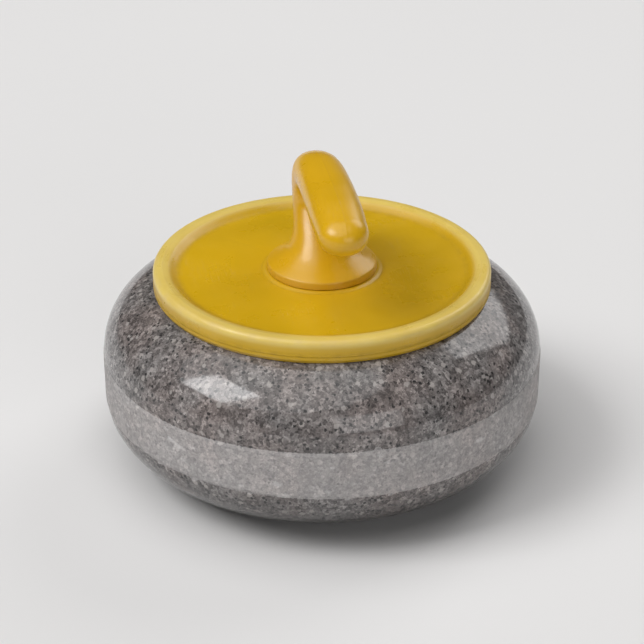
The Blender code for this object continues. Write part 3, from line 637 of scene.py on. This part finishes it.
def make_running_insert(material):
    columns = 420
    outer_radii = np.linspace(RING_OUTER + RING_EDGE, INSERT_RADIUS - 0.4, 10)
    cup_radii = np.linspace(WELL_RADIUS + 1.2, RING_INNER - RING_EDGE, 34)
    outer = [(float(r), float(lower_shoulder(r))) for r in outer_radii]
    cup = [(float(r), float(running_cup(r))) for r in cup_radii]
    sections = [
        ([(WELL_RADIUS, INSERT_TOP - 0.4), (WELL_RADIUS, running_cup(WELL_RADIUS) + 1.2), cup[0]], 1.0, 3),
        (cup, 0.25, 9),
        ([cup[-1], (RING_INNER - 0.15, 0.12), (RING_INNER + 0.15, 0.0)], 0.6, 9),
        ([(RING_INNER + 0.15, 0.0), (RING_OUTER - 0.15, 0.0)], 0.75, 1.2),
        ([(RING_OUTER - 0.15, 0.0), (RING_OUTER + 0.15, 0.12), outer[0]], 0.6, 9),
        ([*outer, (INSERT_RADIUS, outer[-1][1] + 0.4)], 0.0, 9),
        ([(INSERT_RADIUS, outer[-1][1] + 0.4), (INSERT_RADIUS, INSERT_TOP - 0.6)], 1.0, 5),
        ([(INSERT_RADIUS, INSERT_TOP - 0.6), (INSERT_RADIUS - 0.6, INSERT_TOP)], 1.0, 5),
        (
            [
                (INSERT_RADIUS - 0.6, INSERT_TOP),
                (WELL_RADIUS + 0.4, INSERT_TOP),
                (WELL_RADIUS, INSERT_TOP - 0.4),
            ],
            1.0, 9,
        ),
    ]
    outline, rough = [], []
    for points, roughness, spacing in sections:
        section = resample(points, spacing)
        outline += section[:-1]
        rough += [roughness] * (len(section) - 1)
    rings = revolve(outline, columns)
    rough = np.repeat(np.array(rough, float)[:, None], columns, 1)
    return add_piece(
        "running_ring_insert", "stone", material, rings.reshape(-1, 3), skin(rings, True),
        {"rough": rough}, "running_insert", sharp=50,
    )


def make_glue_line(material):
    """The epoxy that fills the gap round the running insert, a little below the surface."""
    low, high = lower_shoulder(INSERT_RADIUS) + 0.5, 18.0
    inner, outer = INSERT_RADIUS + 0.02, INSERT_RADIUS + GAP - 0.02
    corners = [(inner, low, 0), (outer, low, 0), (outer, high, 0), (inner, high, 0)]
    return turned("epoxy_joint", "stone", material, corners, 300, None)


# ---------------------------------------------------------------- bolt and washers


def make_bolt(material):
    shape = Rings(48)
    head_top = box_mm("lock_washer")[0][2] - GAP
    flats = 18.0
    root, point = BOLT_RADIUS - THREAD_HEIGHT, 1.2
    turns = 11
    thread_low = BOLT_TOP - point - PITCH * (turns + 1.2)
    rings = [
        shape.ring(circle(5.2), BOLT_LOW + 0.5),
        shape.ring(circle(6.0), BOLT_LOW + 0.45),
        shape.ring(circle(6.6), BOLT_LOW),
        shape.ring(circle(8.3), BOLT_LOW),
    ]
    for step in np.linspace(0.25, 1.3, 6):
        rings.append(shape.ring(hexagon(flats, 8.3 + 1.9 * step), BOLT_LOW + step))
    rings += [
        shape.ring(hexagon(flats), BOLT_LOW + 1.5),
        shape.ring(hexagon(flats), head_top - 0.55),
        shape.ring(hexagon(flats - 0.3), head_top - 0.4),
        shape.ring(circle(8.4), head_top - 0.4),
        shape.ring(circle(8.4), head_top),
        shape.ring(circle(BOLT_RADIUS), head_top),
        shape.ring(circle(BOLT_RADIUS), thread_low - 0.6),
        shape.ring(circle(root), thread_low - 0.1),
    ]
    tip = [
        shape.ring(circle(root), BOLT_TOP - point),
        shape.ring(circle(root - point), BOLT_TOP),
    ]
    shape.join(rings)
    shape.join(tip)
    shape.thread(rings[-1], tip[0], root, BOLT_RADIUS, PITCH / 8, PITCH, thread_low, turns)
    shape.faces += [tuple(rings[0]), tuple(tip[-1])]
    return add_piece(
        "centre_bolt", "stone", material, shape.vertices, shape.faces, (), "handle_bolt"
    )


def make_ring_piece(name, node, body, material, chamfer, columns=96):
    """A washer or ring that fills its CAD node's box. Its hole is measured from the node's own vertices."""
    low, high = box_mm(node)
    hole = min(math.hypot(v.co.x, v.co.y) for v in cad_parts[node].data.vertices) / MM
    corners = [
        (hole, low[2], chamfer),
        (high[0], low[2], chamfer),
        (high[0], high[2], chamfer),
        (hole, high[2], chamfer),
    ]
    return turned(name, body, material, corners, columns, node, spacing=3.0)


def make_lock_washer(material):
    low, high = box_mm("lock_washer")
    inner, outer, thickness = BOLT_RADIUS + 0.4, 10.5, high[2] - low[2]
    half_gap, lean, bevel = math.radians(4), math.radians(7), 0.3
    section = [
        (inner, bevel), (inner + bevel, 0), (outer - bevel, 0), (outer, bevel),
        (outer, thickness - bevel), (outer - bevel, thickness),
        (inner + bevel, thickness), (inner, thickness - bevel),
    ]
    rings = []
    for angle in np.linspace(half_gap, math.tau - half_gap, 90):
        ring = []
        for radius, height in section:
            turned_to = angle + lean * (2 * height / thickness - 1)
            ring.append((radius * math.cos(turned_to), radius * math.sin(turned_to), low[2] + height))
        rings.append(ring)
    return add_piece(
        "split_washer", "stone", material, np.array(rings).reshape(-1, 3), skin(rings), (),
        "lock_washer",
    )


# ---------------------------------------------------------------- the disc


def granite_top(radius):
    if radius < SEAT_RADIUS:
        return SEAT_Z
    if radius < CUP_RADIUS:
        return top_cup(radius)
    return float(upper_shoulder(radius))


def screw_places():
    for i in range(4):
        angle = math.tau * (i + 0.5) / 4
        yield SCREW_CIRCLE * math.cos(angle), SCREW_CIRCLE * math.sin(angle)


def make_rib(index, high):
    start, end, thickness = HUB_RADIUS - 8, DISC_RADIUS - 8.9, 2.0
    profile = [(start, high), (end, high)]
    for reach in (end, 96.0, 90.0, 84.0, 77.0, LAND_RADIUS, CUP_RADIUS, 56.0, 50.0, 45.0, 40.0, 35.0, start):
        profile.append((reach, max(granite_top(reach) + 1.2, DISC_LOW + 1)))
    angle = math.tau * index / 8
    rings = []
    for side in (-thickness / 2, thickness / 2):
        rings.append([
            (r * math.cos(angle) - side * math.sin(angle), r * math.sin(angle) + side * math.cos(angle), z)
            for r, z in profile
        ])
    return cutter(f"rib_{index}", rings)


def make_disc(material):
    columns, dish_drop, wall = 384, 0.8, 3.0
    hub, hole, edge, crest = HUB_RADIUS, SPIGOT_RADIUS + 0.6, DISC_RADIUS, RIM_CREST
    dish = HUB_TOP - dish_drop
    web = dish - wall
    lip_inner, lip_outer, skirt = edge - 10, edge - 7.8, edge - 2.6
    base = [float(upper_shoulder(r)) + LIFT for r in (lip_inner, lip_outer, skirt, edge)]
    parting = base[3] + 5.4
    corners = [
        (hole, DISC_LOW, 0.3), (hub - 4.8, DISC_LOW, 0.5), (hub - 3.8, web, 1.2), (edge - 13, web, 1.2),
        (lip_inner, web - 0.8, 0.6), (lip_inner, base[0], 0.25), (lip_outer, base[1] + 0.5, 0.25),
        (lip_outer, crest - 4.8, 0.6), (edge - 6.4, crest - 3.2, 0.8), (edge - 5, crest - 3.4, 0.8),
        (skirt - 0.4, crest - 5.6, 0.8), (skirt, base[2], 0.25), (edge - 1.5, base[3] + 0.3, 0.3),
        (edge - 0.1, base[3] + 2.6, 1.4),
        (edge - 0.1, parting - 0.18, 0), (edge, parting, 0), (edge - 0.1, parting + 0.18, 0),
        (edge - 0.1, crest - 0.15, 4.4), (edge - 6.4, crest + 0.05, 2.0), (edge - 10.2, crest - 0.9, 3.0),
        (edge - 15.5, dish - 0.5, 7.0), (hub + 2.2, dish, 1.0), (hub + 0.2, HUB_TOP - 0.05, 0.4),
        (hole, HUB_TOP - 0.05, 0.3),
    ]
    outline = resample((rounded := fillet(corners, 12)) + rounded[:1], 2.2)[:-1]
    rings = revolve(outline, columns)
    angles = np.linspace(0, math.tau, columns, endpoint=False)
    radius, height = np.array(outline).T

    # The plastic sinks a little above each rib as it cools.
    across = (angles * 8 + math.pi) % math.tau - math.pi
    on_dish = (radius > hub + 3) & (radius < edge - 14) & (height > dish - 1.5)
    sink = 0.07 * np.exp(-((across[None, :] / 8 * radius[:, None] / 1.9) ** 2)) * on_dish[:, None]
    rings[..., 2] -= sink
    # The rim mask carries a painted highlight: a paler rim, for the light that the rolled rim catches
    on_rim = np.clip((radius - (edge - 12.5)) / 3.5, 0, 1) * np.clip((height - (crest - 6)) / 3, 0, 1)
    # The hollow mask carries painted shade in the outline's concave corners
    edge_wear, hollow = bends(outline)
    masks = {"edge": np.clip(3 * edge_wear, 0, 1), "hollow": np.clip(3 * hollow, 0, 1), "rim": on_rim}
    masks = {key: np.repeat(mask[:, None], columns, 1) for key, mask in masks.items()}
    disc = add_piece(
        "yellow_disc", "handle_unit", material, rings.reshape(-1, 3), skin(rings, True), masks,
        "colour_disc",
    )
    carve(disc, [make_rib(i, web + 1.5) for i in range(8)], "UNION")
    holes = []
    for i, centre in enumerate(screw_places()):
        well, low = 4.1, DISC_LOW - 1
        levels = ((well, low), (well, DISC_LOW + 4), (2.2, DISC_LOW + 4), (2.2, HUB_TOP + 1))
        holes.append(cutter(f"screw_hole_{i}", [ring_at(circle(r), z, 32, centre) for r, z in levels]))
    carve(disc, holes)
    return disc


def make_seal(material):
    inner, low = DISC_RADIUS - 7.5, 0.32
    corners = [
        (inner, float(upper_shoulder(inner)) + low, 0.5),
        (SEAL_RADIUS, float(upper_shoulder(SEAL_RADIUS)) + low, 0.5),
        (SEAL_RADIUS, SEAL_TOP, 1.4),
        (inner, SEAL_TOP, 1.4),
    ]
    return turned("rubber_seal", "handle_unit", material, corners, 300, "seal_ring", spacing=2.0)


# ---------------------------------------------------------------- the handle

# Side outline of the grip above the foot, neck to tip: (x, z) on the finger side, (x, z) on the palm side,
# and half the width across
GRIP_STATIONS = (
    (21.0, 13.2, -23.6, 12.6, 21.4),
    (14.6, 19.4, -25.2, 18.0, 18.0),
    (7.4, 26.0, -29.4, 25.4, 16.2),
    (0.0, 32.4, -35.0, 33.4, 15.4),
    (-5.4, 38.0, -40.2, 43.4, 15.0),
    (-6.4, 43.0, -41.4, 54.6, 15.0),
    (-2.0, 46.8, -34.6, 64.6, 15.2),
    (6.6, 48.6, -19.6, 70.6, 15.6),
    (17.6, 48.4, 1.4, 72.8, 15.9),
    (33.4, 47.2, 27.4, 72.7, 16.2),
    (53.0, 45.2, 51.6, 70.6, 16.2),
    (70.2, 43.6, 72.4, 67.0, 15.4),
)
FOOT_CORNERS = ((35.0, 0.0), (35.0, 3.6), (34.0, 5.2), (31.2, 6.6), (26.6, 9.2))
NOSE_LENGTH = 16.0


def smooth_between(stations, substeps):
    """A Catmull-Rom curve through every station."""
    padded = np.array([stations[0], *stations, stations[-1]], float)
    curve = []
    for a, b, c, d in zip(padded, padded[1:], padded[2:], padded[3:]):
        for i in range(substeps):
            t = i / substeps
            linear, square, cube = c - a, 2 * a - 5 * b + 4 * c - d, 3 * b - a - 3 * c + d
            curve.append(b + (linear * t + square * t**2 + cube * t**3) / 2)
    return curve + [padded[-1]]


def nose_stations(last):
    finger, palm, half_width = np.array(last[:2]), np.array(last[2:4]), last[4]
    along = (palm - finger) / np.linalg.norm(palm - finger)
    forward = np.array([along[1], -along[0]])
    centre, half = (finger + palm) / 2, (palm - finger) / 2
    for angle in np.radians(np.linspace(6, 87, 16)):
        middle = centre + NOSE_LENGTH * math.sin(angle) * forward
        size = math.cos(angle)
        yield (*(middle - size * half), *(middle + size * half), size * half_width)


def grip_angles(count):
    """Angles round the grip, with a few more beside the two lines where the mould's halves meet."""
    angles = set(np.linspace(0, math.tau, count, endpoint=False).round(6))
    for seam in (0.0, math.pi):
        angles |= {round((seam + side) % math.tau, 6) for side in (-0.034, -0.016, 0.016, 0.034)}
    return np.array(sorted(angles))


def grip_ring(station, angles, squareness, seam_height):
    """An oval ring between the finger side and the palm side. A squareness of 2 is an ellipse."""
    finger_x, finger_z, palm_x, palm_z, half_width = station
    c, s = np.cos(angles), np.sin(angles)
    bulge = np.sign(c) * np.abs(c) ** (2 / squareness)
    width = half_width * np.sign(s) * np.abs(s) ** (2 / squareness)
    height = math.hypot(palm_x - finger_x, palm_z - finger_z)
    on_seam = np.abs(s) < 0.02
    share = (1 - bulge * (1 + np.where(on_seam, 2 * seam_height / max(height, 1), 0))) / 2
    return np.stack([
        finger_x + (palm_x - finger_x) * share, width, FOOT_Z + finger_z + (palm_z - finger_z) * share
    ], axis=1)


def make_handle(material):
    angles = grip_angles(96)
    foot = fillet([(0.0, 0.0, 0), (35.0, 0.0, 0.4), (35.0, 4.6, 1.6), (31.5, 6.5, 3.0), (0.0, 30.0, 0)])
    foot = [point for point in foot if 31.0 < point[0]]
    stations = [(r, z, -r, z, r) for r, z in foot]
    first = len(stations)
    blend_from = (FOOT_CORNERS[-2][0], FOOT_CORNERS[-2][1] + 0.1)
    entry = [(blend_from[0], blend_from[1], -blend_from[0], blend_from[1], blend_from[0])]
    entry.append((FOOT_CORNERS[-1][0], FOOT_CORNERS[-1][1], -FOOT_CORNERS[-1][0], FOOT_CORNERS[-1][1], 26.6))
    stations += smooth_between(entry + list(GRIP_STATIONS), 9)[1:]
    stations += list(nose_stations(GRIP_STATIONS[-1]))
    rings, edge = [], []
    for i, station in enumerate(stations):
        on_grip = min(1.0, max(0.0, (i - first) / 30))
        seam = 0.09 * on_grip * min(1.0, (len(stations) - i) / 6)
        rings.append(grip_ring(station, angles, 2 + 0.22 * on_grip, seam))
        edge.append(0.5 if 2 < i < first - 4 else 0.0)
    rings = np.array(rings)
    edge = np.repeat(np.array(edge)[:, None], len(angles), 1)
    handle = add_piece(
        "gooseneck_handle", "handle_unit", material, rings.reshape(-1, 3), skin(rings), {"edge": edge},
        "handle",
    )
    pocket_flats, pocket_round = 21.6, SPIGOT_RADIUS + GAP
    top = THREADED_INSERT_TOP
    levels = [
        (hexagon(pocket_flats), FOOT_Z - 1), (hexagon(pocket_flats), top - 10 + GAP),
        (circle(pocket_round), top - 10 + GAP), (circle(pocket_round), top - 6 - GAP),
        (hexagon(pocket_flats), top - 6 - GAP), (hexagon(pocket_flats), top + GAP),
    ]
    holes = [cutter("insert_pocket", [ring_at(shape, z, 48) for shape, z in levels])]
    for i, centre in enumerate(screw_places()):
        levels = (FOOT_Z - 1, DISC_LOW + 4 + 14)
        holes.append(cutter(f"pilot_{i}", [ring_at(circle(2.2), z, 32, centre) for z in levels]))
    carve(handle, holes)
    return handle


def make_threaded_insert(material):
    """Brass, with a blind thread inside, a spigot below and a grooved hexagon that the foot grips."""
    shape = Rings(48)
    root = BOLT_RADIUS + 0.35
    crest, crest_width, turns = root - THREAD_HEIGHT, 0.48, 9
    thread_low_of_bolt = BOLT_TOP - 1.2 - PITCH * 12.2
    shift = thread_low_of_bolt + (PITCH / 8 - crest_width) / 2 + PITCH / 2 - SPIGOT_LOW
    start = SPIGOT_LOW + PITCH + shift % PITCH
    relief = start + PITCH * (turns + 1.2)
    top, flats, round_radius = THREADED_INSERT_TOP, 21.0, SPIGOT_RADIUS
    levels = [
        (circle(round_radius - 0.7), SPIGOT_LOW), (circle(round_radius - 0.2), SPIGOT_LOW + 0.3),
        (circle(round_radius), SPIGOT_LOW + 0.8), (circle(round_radius), FOOT_Z + GAP),
        (hexagon(flats - 0.4), FOOT_Z + GAP), (hexagon(flats), FOOT_Z + GAP + 0.3),
        (hexagon(flats), top - 10.3), (hexagon(flats - 0.4), top - 10), (circle(round_radius), top - 10),
        (circle(round_radius), top - 6), (hexagon(flats - 0.4), top - 6), (hexagon(flats), top - 5.7),
        (hexagon(flats), top - 0.6), (hexagon(flats - 0.8), top),
    ]
    outside = [shape.ring(radius_at, z) for radius_at, z in levels]
    mouth = [shape.ring(circle(root + 0.5), SPIGOT_LOW), shape.ring(circle(root), SPIGOT_LOW + 0.5)]
    blind = [shape.ring(circle(root), relief), shape.ring(circle(crest - 1), relief + 1.5)]
    shape.join([outside[0], mouth[0], mouth[1]])
    shape.join(outside)
    shape.join(blind)
    shape.thread(mouth[1], blind[0], root, crest, crest_width, PITCH, start, turns)
    shape.faces += [tuple(outside[-1]), tuple(blind[-1])]
    return add_piece(
        "brass_insert", "handle_unit", material, shape.vertices, shape.faces, (), "threaded_insert"
    )


def make_screw(index, centre, material):
    node = f"disc_screw_{index}"
    low, high = box_mm(node)
    shape = Rings(36)
    head, tip, root, crest = 2.6, high[2], 1.5, 2.12
    under_head, thread_start, turns, pitch = low[2] + head, low[2] + head + 0.8, 5, 1.6
    socket = hexagon(2.6)
    levels = [
        (circle(0.3), low[2] + 1.75), (socket, low[2] + 1.5), (socket, low[2] + 0.12), (hexagon(2.9), low[2]),
        (circle(2.4), low[2]), (circle(2.95), low[2] + 0.12), (circle(3.4), low[2] + 0.5),
        (circle(3.7), low[2] + 1.0), (circle(3.8), low[2] + 1.5), (circle(3.8), under_head - 0.15),
        (circle(3.65), under_head), (circle(root), under_head), (circle(root), thread_start - 0.05),
    ]
    head_rings = [shape.ring(radius_at, z, centre) for radius_at, z in levels]
    point = [
        shape.ring(circle(root), tip - 2.4, centre),
        shape.ring(circle(1.1), tip - 1.3, centre),
        shape.ring(circle(0.3), tip, centre),
    ]
    shape.join(head_rings)
    shape.join(point)
    shape.thread(head_rings[-1], point[0], root, crest, 0.1, pitch, thread_start, turns, centre)
    shape.faces += [tuple(head_rings[0]), tuple(point[-1])]
    return add_piece(
        f"foot_screw_{index}", "handle_unit", material, shape.vertices, shape.faces, (), node
    )


# ---------------------------------------------------------------- floor, light and camera


def add_floor():
    reach = FLOOR_REACH
    corners = [(-reach, -reach, 0), (reach, -reach, 0), (reach, reach, 0), (-reach, reach, 0)]
    mesh = bpy.data.meshes.new("floor")
    mesh.from_pydata(corners, [], [(0, 1, 2, 3)])
    mesh.materials.append(floor_material())
    floor = bpy.data.objects.new("floor", mesh)
    bpy.context.scene.collection.objects.link(floor)


def direction(azimuth, elevation):
    """The unit vector towards a place seen at these degrees. Azimuth 0 is -Y, and it turns towards +X."""
    a, e = math.radians(azimuth), math.radians(elevation)
    return Vector((math.sin(a) * math.cos(e), -math.cos(a) * math.cos(e), math.sin(e)))


def add_looking(obj, azimuth, elevation, distance):
    """Puts a light or camera at that distance from the target, looking at it."""
    back = direction(azimuth, elevation)
    obj.location = TARGET + distance * back
    obj.rotation_euler = (-back).to_track_quat("-Z", "Y").to_euler()
    bpy.context.scene.collection.objects.link(obj)


def add_softbox(name, turn, elevation, size, power):
    """A square area light, turned from the camera's side, far enough away to light the floor evenly too."""
    light = bpy.data.lights.new(name, "AREA")
    light.shape, light.size, light.energy = "SQUARE", size, power
    obj = bpy.data.objects.new(name, light)
    obj.visible_camera = False
    add_looking(obj, CAMERA_AZIMUTH + turn, elevation, 12.0)


def add_ceiling(turn, elevation, strength, spread):
    """Soft light from a whole ceiling, the same everywhere on the floor."""
    light = bpy.data.lights.new("ceiling", "SUN")
    light.energy, light.angle = strength, math.radians(spread)
    add_looking(bpy.data.objects.new("ceiling", light), CAMERA_AZIMUTH + turn, elevation, 12.0)


def add_world():
    """Dimmer towards the floor, for reflections with a direction. The camera sees one pale tone instead."""
    world = bpy.data.worlds.new("studio")
    world.use_nodes = True
    nodes, links = world.node_tree.nodes, world.node_tree.links
    glow = nodes["Background"]
    place = nodes.new("ShaderNodeTexCoord")
    split = nodes.new("ShaderNodeSeparateXYZ")
    links.new(place.outputs["Generated"], split.inputs[0])
    ramp = nodes.new("ShaderNodeMapRange")
    ramp.inputs[1].default_value, ramp.inputs[2].default_value = 0.0, 1.0
    ramp.inputs[3].default_value, ramp.inputs[4].default_value = 0.5, 0.88
    links.new(split.outputs[2], ramp.inputs[0])
    links.new(ramp.outputs[0], glow.inputs[1])
    backdrop = nodes.new("ShaderNodeBackground")
    backdrop.inputs[0].default_value, backdrop.inputs[1].default_value = BACKDROP_COLOUR, BACKDROP
    sight = nodes.new("ShaderNodeLightPath")
    choice = nodes.new("ShaderNodeMixShader")
    links.new(sight.outputs["Is Camera Ray"], choice.inputs[0])
    links.new(glow.outputs[0], choice.inputs[1])
    links.new(backdrop.outputs[0], choice.inputs[2])
    links.new(choice.outputs[0], nodes["World Output"].inputs[0])
    bpy.context.scene.world = world


def add_camera(lens, distance):
    camera = bpy.data.cameras.new("camera")
    camera.lens = lens
    obj = bpy.data.objects.new("camera", camera)
    add_looking(obj, CAMERA_AZIMUTH, CAMERA_ELEVATION, distance)
    bpy.context.scene.camera = obj


# ---------------------------------------------------------------- build


def main():
    grey = granite(
        "grey_granite", 2.4,
        (
            (0.0, (0.055, 0.052, 0.052)), (0.3, (0.118, 0.11, 0.108)), (0.52, (0.178, 0.166, 0.162)),
            (0.75, (0.26, 0.245, 0.24)), (1.0, (0.39, 0.37, 0.36)),
        ),
        fleck_share=0.3, frosted=(0.66, 0.635, 0.63, 1.0), low_tone=0.3,
    )
    hone = granite(
        "blue_hone_granite", 1.1,
        (
            (0.0, (0.05, 0.062, 0.075)), (0.3, (0.1, 0.118, 0.135)), (0.6, (0.16, 0.18, 0.195)),
            (1.0, (0.26, 0.28, 0.29)),
        ),
        fleck_share=0.16, frosted=(0.3, 0.32, 0.34, 1.0),
    )
    disc_yellow = moulded_plastic("disc_yellow_plastic", (0.66, 0.40, 0.005), 0.8)
    # The handle's yellow is a little redder than the disc's: painted shade, for the orange shade on the grip
    handle_yellow = moulded_plastic("handle_yellow_plastic", (0.71, 0.40, 0.006), 0.6)
    steel = metal("stainless_steel", (0.62, 0.62, 0.63), 0.32, (0.4, 0.38, 0.36))
    brass = metal("turned_brass", (0.74, 0.52, 0.22), 0.3, (0.45, 0.28, 0.12))
    rubber = soft_sheet("black_rubber", (0.018, 0.018, 0.019), 0.72, 0.8, 0.03)
    nylon = soft_sheet("natural_nylon", (0.74, 0.72, 0.66), 0.45, 1.6, 0.01)
    epoxy = soft_sheet("dark_epoxy", (0.06, 0.055, 0.05), 0.3, 2.0, 0.01)

    make_stone(grey)
    make_running_insert(hone)
    make_glue_line(epoxy)
    make_bolt(steel)
    make_lock_washer(steel)
    make_ring_piece("steel_washer", "flat_washer", "stone", steel, 0.3)
    make_ring_piece("rubber_washer", "cushion_washer", "stone", rubber, 0.6)
    make_ring_piece("nylon_slip_washer", "slip_washer", "turning_washer", nylon, 0.25)

    make_handle(handle_yellow)
    make_disc(disc_yellow)
    make_seal(rubber)
    make_threaded_insert(brass)
    for i, centre in enumerate(screw_places()):
        make_screw(i + 1, centre, steel)

    add_floor()
    add_ceiling(-60.0, 72.0, 1.45, 70.0)
    add_softbox("key_light", -72.0, 48.0, 5.5, 640.0)
    add_softbox("fill_light", 25.0, 22.0, 6.5, 250.0)
    add_softbox("back_light", 140.0, 36.0, 6.5, 330.0)
    add_world()
    add_camera(105.0, 1.22)
    bpy.context.scene.view_settings.view_transform = "Standard"


main()
